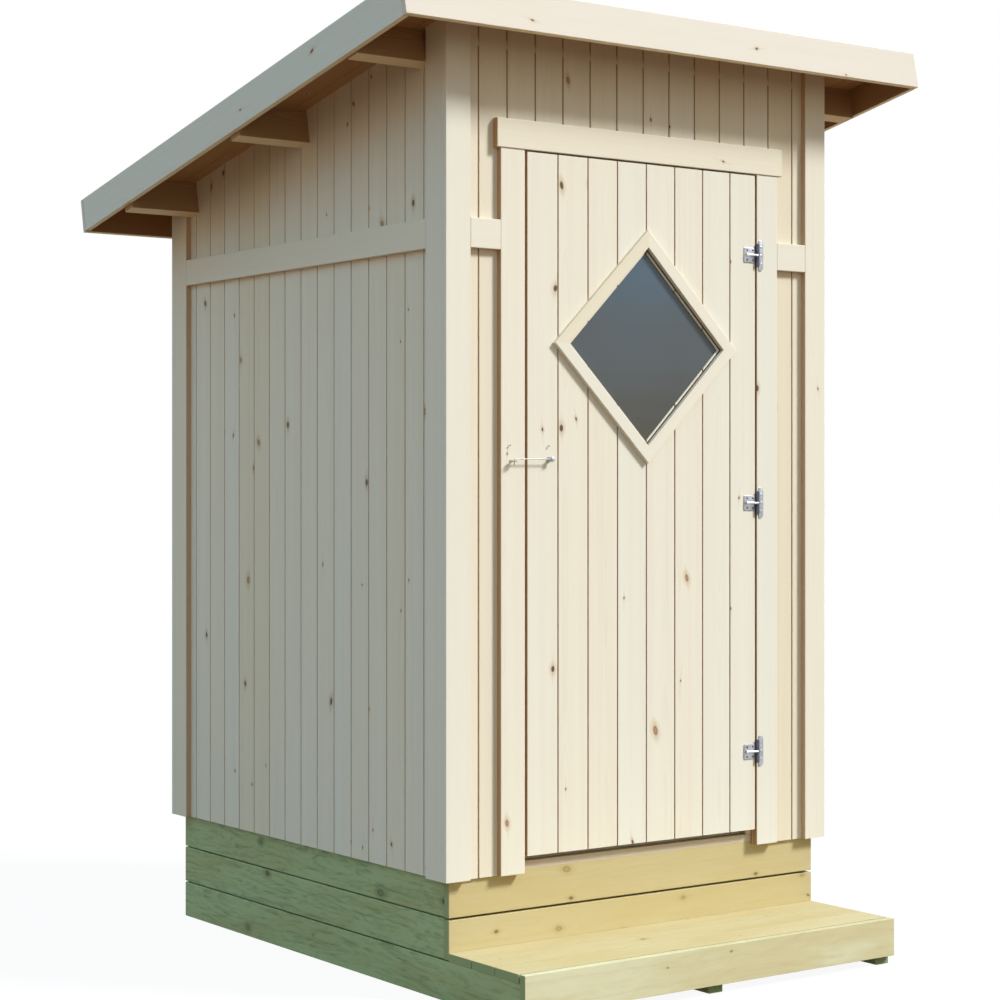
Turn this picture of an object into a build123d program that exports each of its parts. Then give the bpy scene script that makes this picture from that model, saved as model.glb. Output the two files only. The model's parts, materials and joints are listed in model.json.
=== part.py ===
from build123d import *
import os
from math import atan, cos, sin, tan

# Wooden outhouse. Millimetres, +Z up, +X to the right as seen from the front, +Y to the back.
# Origin: on the ground, in the middle of the overall footprint (step at the front, eaves at the back).

# ---- driving dimensions -------------------------------------------------------------------
wall_w = 1200.0          # width over the corner boards
wall_d = 1370.0          # depth over the corner boards
front_y = -631.0         # face of the front corner boards and casings
trim_t = 16.0            # corner boards, bands and casings
clad_t = 9.0             # tongue and groove cladding
stud = 45.0              # square framing timber

timber_h = 95.0          # base timbers, 45 x 95 on edge
timber_t = 45.0
course_gap = 3.0         # packers between the courses
packer_inset = 12.0      # they stop this far short of the timbers' faces and ends
deck_t = 20.0            # step boards and base facings
deck_w = 92.0
deck_seam = 0.5
step_depth = 281.0       # from the base facing to the back of the step front
step_front_h = 92.5
lower_facing_h = 92.5
base_setback = 8.0       # the base ends this far short of the frame at the back
floor_t = 18.5
wall_bottom = 284.0      # lower ends of the cladding and the trims

corner_w = 70.0          # corner boards, on every side
band_z = 1759.5
band_h = 70.5

casing_w = 70.0          # boards on both sides of the doorway
doorway_x0 = -373.5      # inner edges of the casings
doorway_x1 = 362.0
head_z = 2001.0
head_h = 69.0
head_x0 = -455.5
head_x1 = 446.0
head_proud = 3.0
stop_lap = 15.0          # door posts reach this far behind the leaf
threshold_t = 23.0       # bar across the foot of the doorway, behind the leaf
threshold_h = 20.0
rail_zs = (880.0, 1480.0)
header_z = 1981.0

roof_fall = 1 / 5
roof_overhang_x = 201.5
roof_front_y = front_y - 141.4
roof_front_z = 2248.8    # lower outer edge of the front fascia
roof_run = 1690.0        # along the slope, over both fascias
fascia_t = 15.0
fascia_h = 93.0
barge_n = -1.0           # lower edge of the bargeboards, from the front fascia's
barge_h = 92.0
rear_n = -3.0            # lower edge of the rear fascia
roof_board_n = 73.0      # underside of the roof boards above the fascia's lower edge
roof_board_t = 16.0
covering_t = 2.5
plate_n = -6.5           # top of the side walls' plates
purlin_w = 45.0
purlins_at = (           # way down the slope, and lower edge at the overhangs
    (232.0, plate_n),
    (801.0, -14.5),
    (1409.0, -14.5),
)

leaf_x0 = -368.0
leaf_x1 = 357.0
leaf_z0 = 325.0
leaf_z1 = 1996.5
leaf_t = 18.0
ledge_t = 20.0
ledge_h = 95.0
ledge_zs = (420.0, 1115.0, 1850.0)
ledge_x0 = -345.0
ledge_x1 = 330.0

window_x = -5.0
window_z = 1546.0
window_open = 345.0      # side of the frame's square opening, which stands on its corner
window_outer = 406.0
window_proud = 12.0
window_hole = 330.0      # hole through the front of the leaf
window_rebate = 352.0    # wider hole behind, which takes the glass and its bead
rebate_front = 4.0
glass_side = 350.0
glass_t = 4.0

hinge_x = 360.0
hinge_y = front_y - 5.0
hinge_zs = (525.0, 1160.0, 1793.0)
hinge_plate_t = 2.5
knuckle_r = 5.0
knuckles_h = 56.0        # all the knuckles of one hinge
door_knuckle_h = 16.0    # the middle one, on the door
knuckle_gap = 0.5
pin_r = 2.5
pin_play = 0.05
pin_end = 2.0            # pin beyond the knuckles
casing_plate_x0 = hinge_x + 7.0
casing_plate_x1 = hinge_x + 22.0
casing_plate_half = 39.0
casing_plate_straight = 26.0
door_plate_x0 = hinge_x - 43.0
door_plate_x1 = hinge_x - 4.5
door_plate_half = 19.0
rib_r0 = 5.0             # pressed rib, which runs out over the door's knuckle
rib_y0 = front_y - 5.5
rib_r1 = 2.2
rib_y1 = front_y - 8.6

hook_x = -303.0          # pivot on the door
hook_z = 1267.0
hook_y = front_y - 14.0
hook_r = 2.0
hook_drop = 14.0         # bent end, from the middle of the bar
hook_ring_r = 7.5
hook_ring_t = 4.0
hook_base_r = 7.0
hook_base_t = 3.0
hook_neck_r = 4.0
hook_head_r = 5.0
hook_head_t = 3.0
hook_play = 0.5          # between the hook's ring and its neck and head
eye_x = -415.0           # eye on the casing
eye_z = hook_z - 5.0
eye_r = 6.2              # middle of the ring's wire
eye_wire_r = 1.8
eye_shank_r = 1.6
eye_plate_r = 5.0
eye_plate_t = 1.5

# ---- derived planes and levels ------------------------------------------------------------
back_y = front_y + wall_d
face_x = wall_w / 2
clad_x = face_x - trim_t
frame_x = clad_x - clad_t
clad_front = front_y + trim_t
frame_front = clad_front + clad_t
clad_back = back_y - trim_t
frame_back = clad_back - clad_t
base_back = frame_back - base_setback
stud_x = frame_x - stud
stud_front = frame_front + stud
stud_back = frame_back - stud
timber_x = frame_x - timber_t
course_2 = timber_h + course_gap
course_3 = course_2 + timber_h + course_gap
floor_z = course_3 + timber_h
floor_top = floor_z + floor_t
side_front = frame_front + deck_t
post_x0 = doorway_x0 + stop_lap
post_x1 = doorway_x1 - stop_lap
pitch = atan(roof_fall)
roof_plane = Plane(
    origin=(0, roof_front_y, roof_front_z),
    x_dir=(1, 0, 0),
    z_dir=(0, sin(pitch), cos(pitch)),
)
roof_half = face_x + roof_overhang_x
roof_inner = roof_half - fascia_t


def roof_z(y, n):
    """Height, at depth y, of the plane that lies n above the lower edge of the fascias."""
    return roof_front_z + n / cos(pitch) - (y - roof_front_y) * tan(pitch)


def block(x0, x1, y0, y1, z0, z1, mode=Mode.ADD):
    """A box between two corners."""
    with Locations(((x0 + x1) / 2, (y0 + y1) / 2, (z0 + z1) / 2)):
        Box(x1 - x0, y1 - y0, z1 - z0, mode=mode)


def sloped(x0, x1, s0, s1, n0, n1, mode=Mode.ADD):
    """A box in the roof's own frame: s runs down the slope, n stands square to it."""
    middle = Location(((x0 + x1) / 2, (s0 + s1) / 2, (n0 + n1) / 2))
    with Locations(roof_plane.location * middle):
        Box(x1 - x0, s1 - s0, n1 - n0, mode=mode)


def under_roof(x0, thickness, y0, y1):
    """A side panel or board from the walls' lower edge up to the roof boards."""
    with BuildSketch(Plane.YZ.offset(x0)) as outline:
        with BuildLine():
            Polyline(
                (y0, wall_bottom),
                (y1, wall_bottom),
                (y1, roof_z(y1, roof_board_n)),
                (y0, roof_z(y0, roof_board_n)),
                close=True,
            )
        make_face()
    extrude(outline.sketch, amount=thickness)


def rod(x, y, z, radius, length, turn, mode=Mode.ADD):
    """A round bar centred on a point; turn lays it along another axis."""
    with Locations(Location((x, y, z), turn)):
        Cylinder(radius, length, mode=mode)


def tilted_square(side, y0, y1, mode=Mode.ADD):
    """A square plate standing on its corner at the window."""
    with Locations(Location((window_x, (y0 + y1) / 2, window_z), (0, 45, 0))):
        Box(side, y1 - y0, side, mode=mode)


def cut_purlins():
    """Open notches for the purlins."""
    for run, low_n in purlins_at:
        sloped(-roof_half, roof_half, run, run + purlin_w, low_n, roof_board_n, Mode.SUBTRACT)


ALONG_X = (0, 90, 0)
ALONG_Y = (90, 0, 0)
UPRIGHT = (0, 0, 0)
os.makedirs("parts", exist_ok=True)


# ---- base and step ------------------------------------------------------------------------
with BuildPart() as base_skids:
    for centre in (-timber_x - timber_t / 2, 0, timber_x + timber_t / 2):
        block(centre - timber_t / 2, centre + timber_t / 2,
              frame_front - step_depth, base_back, 0, timber_h)
base_skids.part.label = "base_skids"
export_step(base_skids.part, "parts/base_skids.step")

with BuildPart() as base_side_timbers:
    for z0 in (course_2, course_3):
        for x0 in (-frame_x, timber_x):
            block(x0, x0 + timber_t, side_front, base_back, z0, z0 + timber_h)
base_side_timbers.part.label = "base_side_timbers"
export_step(base_side_timbers.part, "parts/base_side_timbers.step")

with BuildPart() as base_cross_timbers:
    for y0 in (side_front, base_back - timber_t):
        block(-timber_x, timber_x, y0, y0 + timber_t, course_2, course_2 + timber_h)
base_cross_timbers.part.label = "base_cross_timbers"
export_step(base_cross_timbers.part, "parts/base_cross_timbers.step")

with BuildPart() as base_facings:
    block(-frame_x, frame_x, frame_front, side_front, course_2, course_2 + lower_facing_h)
    block(-frame_x, frame_x, frame_front, side_front, course_3, floor_z)
base_facings.part.label = "base_facings"
export_step(base_facings.part, "parts/base_facings.step")

packer_w = timber_t - 2 * packer_inset
packer_y0 = side_front + packer_inset
packer_y1 = base_back - packer_inset - stud
with BuildPart() as packers:
    for z0 in (timber_h, timber_h + course_2):
        for centre in (-timber_x - timber_t / 2, timber_x + timber_t / 2):
            for y0 in (packer_y0, (packer_y0 + packer_y1) / 2, packer_y1):
                block(centre - packer_w / 2, centre + packer_w / 2,
                      y0, y0 + stud, z0, z0 + course_gap)
packers.part.label = "packers"
export_step(packers.part, "parts/packers.step")

joist_span = (base_back - timber_t - side_front) / 3
with BuildPart() as floor_joists:
    for index in range(4):
        y0 = side_front + index * joist_span
        block(-timber_x, timber_x, y0, y0 + timber_t, course_3, floor_z)
floor_joists.part.label = "floor_joists"
export_step(floor_joists.part, "parts/floor_joists.step")

with BuildPart() as step_boards:
    for index in range(3):
        y1 = frame_front - index * (deck_w + deck_seam)
        block(-frame_x, frame_x, y1 - deck_w, y1, timber_h, timber_h + deck_t)
step_boards.part.label = "step_boards"
export_step(step_boards.part, "parts/step_boards.step")

with BuildPart() as step_front:
    y1 = frame_front - step_depth
    z1 = timber_h + deck_t
    block(-frame_x, frame_x, y1 - deck_t, y1, z1 - step_front_h, z1)
step_front.part.label = "step_front"
export_step(step_front.part, "parts/step_front.step")

with BuildPart() as floor:
    block(-frame_x, frame_x, frame_front, frame_back, floor_z, floor_top)
floor.part.label = "floor"
export_step(floor.part, "parts/floor.step")

# ---- wall framing -------------------------------------------------------------------------
with BuildPart() as corner_posts:
    for x0 in (-frame_x, stud_x):
        block(x0, x0 + stud, frame_front, stud_front, floor_top, roof_z(stud_front, roof_board_n))
        block(x0, x0 + stud, stud_back, frame_back, floor_top, roof_z(frame_back, roof_board_n))
corner_posts.part.label = "corner_posts"
export_step(corner_posts.part, "parts/corner_posts.step")

front_plate_z = roof_z(stud_front, roof_board_n) - stud
with BuildPart() as door_posts:
    for x0 in (post_x0 - stud, post_x1):
        block(x0, x0 + stud, frame_front, stud_front, floor_top, front_plate_z)
door_posts.part.label = "door_posts"
export_step(door_posts.part, "parts/door_posts.step")

with BuildPart() as door_header:
    block(post_x0, post_x1, frame_front, stud_front, header_z, header_z + stud)
door_header.part.label = "door_header"
export_step(door_header.part, "parts/door_header.step")

bays = ((-stud_x, post_x0 - stud), (post_x1 + stud, stud_x))
with BuildPart() as sole_plates:
    for x0, x1 in bays:
        block(x0, x1, frame_front, stud_front, floor_top, floor_top + stud)
    for x0 in (-frame_x, stud_x):
        block(x0, x0 + stud, stud_front, stud_back, floor_top, floor_top + stud)
    block(-stud_x, stud_x, stud_back, frame_back, floor_top, floor_top + stud)
sole_plates.part.label = "sole_plates"
export_step(sole_plates.part, "parts/sole_plates.step")

with BuildPart() as wall_rails:
    for z0 in rail_zs:
        for x0, x1 in bays:
            block(x0, x1, frame_front, stud_front, z0, z0 + stud)
        for x0 in (-frame_x, stud_x):
            block(x0, x0 + stud, stud_front, stud_back, z0, z0 + stud)
        block(-stud_x, stud_x, stud_back, frame_back, z0, z0 + stud)
wall_rails.part.label = "wall_rails"
export_step(wall_rails.part, "parts/wall_rails.step")

side_rail_n = plate_n - stud
with BuildPart() as top_plates:
    block(-stud_x, stud_x, frame_front, stud_front, front_plate_z, front_plate_z + stud)
    back_plate_z = roof_z(frame_back, roof_board_n) - stud
    block(-stud_x, stud_x, stud_back, frame_back, back_plate_z, back_plate_z + stud)
    for x0 in (-frame_x, stud_x):
        with BuildSketch(Plane.YZ.offset(x0)) as rail_outline:
            with BuildLine():
                Polyline(
                    (stud_front, roof_z(stud_front, side_rail_n)),
                    (stud_back, roof_z(stud_back, side_rail_n)),
                    (stud_back, roof_z(stud_back, plate_n)),
                    (stud_front, roof_z(stud_front, plate_n)),
                    close=True,
                )
            make_face()
        extrude(amount=stud)
top_plates.part.label = "top_plates"
export_step(top_plates.part, "parts/top_plates.step")

# ---- cladding -----------------------------------------------------------------------------
front_top = roof_z(frame_front, roof_board_n)
with BuildPart() as front_wall_left:
    block(-clad_x, doorway_x0, clad_front, frame_front, wall_bottom, front_top)
front_wall_left.part.label = "front_wall_left"
export_step(front_wall_left.part, "parts/front_wall_left.step")

with BuildPart() as front_wall_right:
    block(doorway_x1, clad_x, clad_front, frame_front, wall_bottom, front_top)
front_wall_right.part.label = "front_wall_right"
export_step(front_wall_right.part, "parts/front_wall_right.step")

with BuildPart() as front_wall_top:
    block(doorway_x0, doorway_x1, clad_front, frame_front, head_z, front_top)
front_wall_top.part.label = "front_wall_top"
export_step(front_wall_top.part, "parts/front_wall_top.step")

with BuildPart() as left_wall:
    under_roof(-clad_x, clad_t, frame_front, frame_back)
    cut_purlins()
left_wall.part.label = "left_wall"
export_step(left_wall.part, "parts/left_wall.step")

with BuildPart() as right_wall:
    under_roof(frame_x, clad_t, frame_front, frame_back)
    cut_purlins()
right_wall.part.label = "right_wall"
export_step(right_wall.part, "parts/right_wall.step")

with BuildPart() as back_wall:
    back_top = roof_z(clad_back, roof_board_n)
    block(-clad_x, clad_x, frame_back, clad_back, wall_bottom, back_top)
back_wall.part.label = "back_wall"
export_step(back_wall.part, "parts/back_wall.step")

# ---- trims --------------------------------------------------------------------------------
with BuildPart() as front_corner_boards:
    trim_top = roof_z(clad_front, roof_board_n)
    for x0 in (-face_x, face_x - corner_w):
        block(x0, x0 + corner_w, front_y, clad_front, wall_bottom, trim_top)
front_corner_boards.part.label = "front_corner_boards"
export_step(front_corner_boards.part, "parts/front_corner_boards.step")

with BuildPart() as back_corner_boards:
    trim_top = roof_z(back_y, roof_board_n)
    for x0 in (-face_x, face_x - corner_w):
        block(x0, x0 + corner_w, clad_back, back_y, wall_bottom, trim_top)
back_corner_boards.part.label = "back_corner_boards"
export_step(back_corner_boards.part, "parts/back_corner_boards.step")

with BuildPart() as side_corner_boards:
    for x0 in (-face_x, clad_x):
        for y0 in (clad_front, clad_back - corner_w):
            under_roof(x0, trim_t, y0, y0 + corner_w)
    cut_purlins()
side_corner_boards.part.label = "side_corner_boards"
export_step(side_corner_boards.part, "parts/side_corner_boards.step")

with BuildPart() as wall_bands:
    band_top = band_z + band_h
    block(-face_x + corner_w, doorway_x0 - casing_w, front_y, clad_front, band_z, band_top)
    block(doorway_x1 + casing_w, face_x - corner_w, front_y, clad_front, band_z, band_top)
    block(-face_x + corner_w, face_x - corner_w, clad_back, back_y, band_z, band_top)
    for x0 in (-face_x, clad_x):
        block(x0, x0 + trim_t, clad_front + corner_w, clad_back - corner_w, band_z, band_top)
wall_bands.part.label = "wall_bands"
export_step(wall_bands.part, "parts/wall_bands.step")

with BuildPart() as door_casings:
    for x0 in (doorway_x0 - casing_w, doorway_x1):
        block(x0, x0 + casing_w, front_y, clad_front, wall_bottom, head_z)
door_casings.part.label = "door_casings"
export_step(door_casings.part, "parts/door_casings.step")

with BuildPart() as head_casing:
    block(head_x0, head_x1, front_y - head_proud, clad_front, head_z, head_z + head_h)
head_casing.part.label = "head_casing"
export_step(head_casing.part, "parts/head_casing.step")

with BuildPart() as threshold:
    block(post_x0, post_x1, stud_front - threshold_t, stud_front,
          floor_top, floor_top + threshold_h)
threshold.part.label = "threshold"
export_step(threshold.part, "parts/threshold.step")

# ---- roof ---------------------------------------------------------------------------------
with BuildPart() as purlins:
    for run, low_n in purlins_at:
        sloped(-roof_inner, roof_inner, run, run + purlin_w, low_n, roof_board_n)
        if low_n < plate_n:
            for x0 in (-frame_x, stud_x):
                sloped(x0, x0 + stud, run, run + purlin_w, low_n, plate_n, Mode.SUBTRACT)
purlins.part.label = "purlins"
export_step(purlins.part, "parts/purlins.step")

covering_n = roof_board_n + roof_board_t
with BuildPart() as roof_boards:
    sloped(-roof_inner, roof_inner, fascia_t, roof_run - fascia_t, roof_board_n, covering_n)
roof_boards.part.label = "roof_boards"
export_step(roof_boards.part, "parts/roof_boards.step")

with BuildPart() as roof_covering:
    sloped(-roof_inner, roof_inner, fascia_t, roof_run - fascia_t,
           covering_n, covering_n + covering_t)
roof_covering.part.label = "roof_covering"
export_step(roof_covering.part, "parts/roof_covering.step")

with BuildPart() as left_bargeboard:
    sloped(-roof_half, -roof_inner, fascia_t, roof_run - fascia_t, barge_n, barge_n + barge_h)
left_bargeboard.part.label = "left_bargeboard"
export_step(left_bargeboard.part, "parts/left_bargeboard.step")

with BuildPart() as right_bargeboard:
    sloped(roof_inner, roof_half, fascia_t, roof_run - fascia_t, barge_n, barge_n + barge_h)
right_bargeboard.part.label = "right_bargeboard"
export_step(right_bargeboard.part, "parts/right_bargeboard.step")

with BuildPart() as front_fascia:
    sloped(-roof_half, roof_half, 0, fascia_t, 0, fascia_h)
front_fascia.part.label = "front_fascia"
export_step(front_fascia.part, "parts/front_fascia.step")

with BuildPart() as rear_fascia:
    sloped(-roof_half, roof_half, roof_run - fascia_t, roof_run, rear_n, rear_n + fascia_h)
rear_fascia.part.label = "rear_fascia"
export_step(rear_fascia.part, "parts/rear_fascia.step")

# ---- door ---------------------------------------------------------------------------------
leaf_back = front_y + leaf_t
glass_front = front_y + rebate_front
glass_back = glass_front + glass_t
with BuildPart() as door_leaf:
    block(leaf_x0, leaf_x1, front_y, leaf_back, leaf_z0, leaf_z1)
    tilted_square(window_hole, front_y, glass_front, Mode.SUBTRACT)
    tilted_square(window_rebate, glass_front, leaf_back, Mode.SUBTRACT)
door_leaf.part.label = "door_leaf"
export_step(door_leaf.part, "parts/door_leaf.step")

with BuildPart() as door_ledges:
    for z0 in ledge_zs:
        block(ledge_x0, ledge_x1, leaf_back, leaf_back + ledge_t, z0, z0 + ledge_h)
door_ledges.part.label = "door_ledges"
export_step(door_ledges.part, "parts/door_ledges.step")

with BuildPart() as window_frame:
    tilted_square(window_outer, front_y - window_proud, front_y)
    tilted_square(window_open, front_y - window_proud, front_y, Mode.SUBTRACT)
window_frame.part.label = "window_frame"
export_step(window_frame.part, "parts/window_frame.step")

with BuildPart() as window_glass:
    tilted_square(glass_side, glass_front, glass_back)
window_glass.part.label = "window_glass"
export_step(window_glass.part, "parts/window_glass.step")

with BuildPart() as window_bead:
    tilted_square(window_rebate, glass_back, leaf_back)
    tilted_square(window_hole, glass_back, leaf_back, Mode.SUBTRACT)
window_bead.part.label = "window_bead"
export_step(window_bead.part, "parts/window_bead.step")

# ---- hinges -------------------------------------------------------------------------------
plate_y = front_y - hinge_plate_t
outer_knuckle_h = (knuckles_h - door_knuckle_h) / 2 - knuckle_gap
outer_knuckle_z = (knuckles_h - outer_knuckle_h) / 2
with BuildPart() as hinge_frame_leaves:
    for z in hinge_zs:
        with BuildSketch(Plane.XZ.offset(-front_y)) as casing_plate:
            with BuildLine():
                Polyline(
                    (casing_plate_x0, z - casing_plate_half),
                    (casing_plate_x1, z - casing_plate_straight),
                    (casing_plate_x1, z + casing_plate_straight),
                    (casing_plate_x0, z + casing_plate_half),
                    close=True,
                )
            make_face()
        extrude(casing_plate.sketch, amount=hinge_plate_t)
        for knuckle_z in (z - outer_knuckle_z, z + outer_knuckle_z):
            rod(hinge_x, hinge_y, knuckle_z, knuckle_r, outer_knuckle_h, UPRIGHT)
            block(hinge_x, casing_plate_x0, plate_y, front_y,
                  knuckle_z - outer_knuckle_h / 2, knuckle_z + outer_knuckle_h / 2)
        rod(hinge_x, hinge_y, z, pin_r, knuckles_h + 2 * pin_end, UPRIGHT)
hinge_frame_leaves.part.label = "hinge_frame_leaves"
export_step(hinge_frame_leaves.part, "parts/hinge_frame_leaves.step")

with BuildPart() as hinge_door_leaves:
    for z in hinge_zs:
        with BuildSketch(Plane.YZ.offset(door_plate_x0)):
            with Locations((rib_y0, z)):
                Circle(rib_r0)
        with BuildSketch(Plane.YZ.offset(hinge_x)):
            with Locations((rib_y1, z)):
                Circle(rib_r1)
        loft()
        block(door_plate_x0, door_plate_x1, plate_y, front_y,
              z - door_plate_half, z + door_plate_half)
        block(door_plate_x1, hinge_x, plate_y, front_y,
              z - door_knuckle_h / 2, z + door_knuckle_h / 2)
        rod(hinge_x, hinge_y, z, knuckle_r, door_knuckle_h, UPRIGHT)
        rod(hinge_x, hinge_y, z, pin_r + pin_play, knuckles_h, UPRIGHT, Mode.SUBTRACT)
hinge_door_leaves.part.label = "hinge_door_leaves"
export_step(hinge_door_leaves.part, "parts/hinge_door_leaves.step")

# ---- cabin hook ---------------------------------------------------------------------------
neck_y = hook_y + hook_ring_t / 2 + hook_play
head_back = hook_y - hook_ring_t / 2 - hook_play
base_y = front_y - hook_base_t
head_y = head_back - hook_head_t / 2
with BuildPart() as hook_pivot:
    rod(hook_x, (front_y + base_y) / 2, hook_z, hook_base_r, hook_base_t, ALONG_Y)
    rod(hook_x, (base_y + neck_y) / 2, hook_z, hook_neck_r, base_y - neck_y, ALONG_Y)
    rod(hook_x, (base_y + head_y) / 2, hook_z, pin_r, base_y - head_y, ALONG_Y)
    rod(hook_x, head_y, hook_z, hook_head_r, hook_head_t, ALONG_Y)
hook_pivot.part.label = "hook_pivot"
export_step(hook_pivot.part, "parts/hook_pivot.step")

with BuildPart() as hook:
    rod(hook_x, hook_y, hook_z, hook_ring_r, hook_ring_t, ALONG_Y)
    bar_x1 = hook_x - (hook_ring_r + pin_r) / 2
    rod((eye_x + bar_x1) / 2, hook_y, hook_z, hook_r, bar_x1 - eye_x, ALONG_X)
    with Locations((eye_x, hook_y, hook_z)):
        Sphere(hook_r)
    rod(eye_x, hook_y, hook_z - hook_drop / 2, hook_r, hook_drop, UPRIGHT)
    rod(hook_x, hook_y, hook_z, pin_r + pin_play, 2 * hook_ring_t, ALONG_Y, Mode.SUBTRACT)
hook.part.label = "hook"
export_step(hook.part, "parts/hook.step")

shank_l = front_y - hook_y - eye_r
with BuildPart() as hook_eye:
    rod(eye_x, front_y - shank_l / 2, eye_z, eye_shank_r, shank_l, ALONG_Y)
    rod(eye_x, front_y - eye_plate_t / 2, eye_z, eye_plate_r, eye_plate_t, ALONG_Y)
    with Locations((eye_x, hook_y, eye_z)):
        Torus(eye_r, eye_wire_r)
hook_eye.part.label = "hook_eye"
export_step(hook_eye.part, "parts/hook_eye.step")
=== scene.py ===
import json
from math import atan, cos, pi, radians, sin

import bpy
import numpy as np
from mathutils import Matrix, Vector


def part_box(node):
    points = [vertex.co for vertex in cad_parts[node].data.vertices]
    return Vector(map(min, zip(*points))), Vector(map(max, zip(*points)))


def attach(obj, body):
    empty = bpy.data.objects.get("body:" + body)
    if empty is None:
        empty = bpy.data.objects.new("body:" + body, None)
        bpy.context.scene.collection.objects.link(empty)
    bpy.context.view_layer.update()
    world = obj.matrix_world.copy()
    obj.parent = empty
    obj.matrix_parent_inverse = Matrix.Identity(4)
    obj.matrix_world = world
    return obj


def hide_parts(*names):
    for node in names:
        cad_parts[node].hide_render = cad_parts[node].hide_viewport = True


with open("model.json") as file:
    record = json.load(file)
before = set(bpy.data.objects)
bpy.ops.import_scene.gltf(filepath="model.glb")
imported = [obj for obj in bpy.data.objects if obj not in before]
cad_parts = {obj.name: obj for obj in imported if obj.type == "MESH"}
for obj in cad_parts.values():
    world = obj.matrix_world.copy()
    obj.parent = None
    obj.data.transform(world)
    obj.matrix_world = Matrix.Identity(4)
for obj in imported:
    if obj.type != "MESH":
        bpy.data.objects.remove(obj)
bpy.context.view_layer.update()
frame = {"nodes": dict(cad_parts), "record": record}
draw = np.random.default_rng(23)


# ---- materials: maths on sockets ----------------------------------------------------------
class Wire:
    """An output socket. Arithmetic on it adds Math nodes to its graph."""

    def __init__(self, graph, socket):
        self.graph, self.socket = graph, socket

    def math(self, operation, *others, clamp=False):
        values = dict(enumerate((self, *others)))
        return self.graph.add("ShaderNodeMath", {"operation": operation, "use_clamp": clamp}, values)

    def out(self, name):
        return Wire(self.graph, self.socket.node.outputs[name])

    def parts(self):
        """The three numbers of a vector or a colour."""
        split = self.graph.add("ShaderNodeSeparateXYZ", {}, {0: self})
        return split, split.out(1), split.out(2)

    def step(self, low, high):
        """Rises smoothly from 0 at low to 1 at high, or falls where low is the larger."""
        ends = {"Value": self, "From Min": low, "From Max": high}
        if low > high:
            ends = {"Value": self, "From Min": high, "From Max": low, "To Min": 1, "To Max": 0}
        return self.graph.add("ShaderNodeMapRange", {"interpolation_type": "SMOOTHSTEP"}, ends)

    def clamp(self):
        return self.math("ADD", 0, clamp=True)

    def __add__(self, other):
        return self.math("ADD", other)

    def __sub__(self, other):
        return self.math("SUBTRACT", other)

    def __rsub__(self, other):
        return (self * -1) + other

    def __mul__(self, other):
        return self.math("MULTIPLY", other)

    def __truediv__(self, other):
        return self.math("DIVIDE", other)

    def __pow__(self, power):
        return self.math("POWER", power)

    def __lt__(self, limit):
        return self.math("LESS_THAN", limit)

    def __abs__(self):
        return self.math("ABSOLUTE")

    __radd__ = __add__
    __rmul__ = __mul__


class Graph:
    """The nodes of a material or of the world."""

    def __init__(self, owner):
        owner.use_nodes = True
        self.tree = owner.node_tree
        self.tree.nodes.clear()

    def add(self, kind, settings, values, output=0):
        """Any node: settings first, then the value or the link of each input named in values."""
        node = self.tree.nodes.new(kind)
        for key, value in settings.items():
            setattr(node, key, value)
        for key, value in values.items():
            if isinstance(value, Wire):
                self.tree.links.new(value.socket, node.inputs[key])
            else:
                node.inputs[key].default_value = value
        return Wire(self, node.outputs[output]) if len(node.outputs) else node

    def mix(self, factor, first, second):
        """Blends two colours."""
        values = {0: factor, 6: first, 7: second}
        return self.add("ShaderNodeMix", {"data_type": "RGBA", "clamp_factor": True}, values, 2)

    def seen(self):
        """1 for what the eye, a reflection or a look through glass meets, 0 for lighting."""
        path = self.add("ShaderNodeLightPath", {}, {}, "Is Camera Ray")
        reflected = path.math("MAXIMUM", path.out("Is Glossy Ray"))
        return reflected.math("MAXIMUM", path.out("Is Transmission Ray"))


class Finish(Graph):
    """One material: its nodes and its Principled shader."""

    def __init__(self, name, **constants):
        self.material = bpy.data.materials.new(name)
        super().__init__(self.material)
        self.shader = self.add("ShaderNodeBsdfPrincipled", {}, constants).socket.node
        self.add("ShaderNodeOutputMaterial", {}, {0: Wire(self, self.shader.outputs[0])})

    def feed(self, **links):
        for key, value in links.items():
            self.tree.links.new(value.socket, self.shader.inputs[key.replace("_", " ")])

    def vector(self, x, y, z):
        return self.add("ShaderNodeCombineXYZ", {}, {0: x, 1: y, 2: z})

    def scaled(self, vector, factors):
        return self.add("ShaderNodeVectorMath", {"operation": "MULTIPLY"}, {0: vector, 1: factors})

    def noise(self, vector, factors=(1, 1, 1), scale=1.0, detail=2.0, rough=0.5, distort=0.0):
        """Noise from 0 to 1 on a stretched vector."""
        values = {"Vector": self.scaled(vector, factors), "Scale": scale, "Detail": detail,
                  "Roughness": rough, "Distortion": distort}
        return self.add("ShaderNodeTexNoise", {}, values)

    def bump(self, height, strength, distance):
        return self.add("ShaderNodeBump", {}, {"Height": height, "Strength": strength, "Distance": distance})


def shade(red, green, blue):
    """A display colour, 0 to 255 each, as the linear colour that a shader takes."""
    tones = np.array((red, green, blue)) / 255
    linear = np.where(tones > 0.04045, ((tones + 0.055) / 1.055) ** 2.4, tones / 12.92)
    return (*linear.tolist(), 1)


WOOD_ROUGHNESS = 0.6


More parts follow.
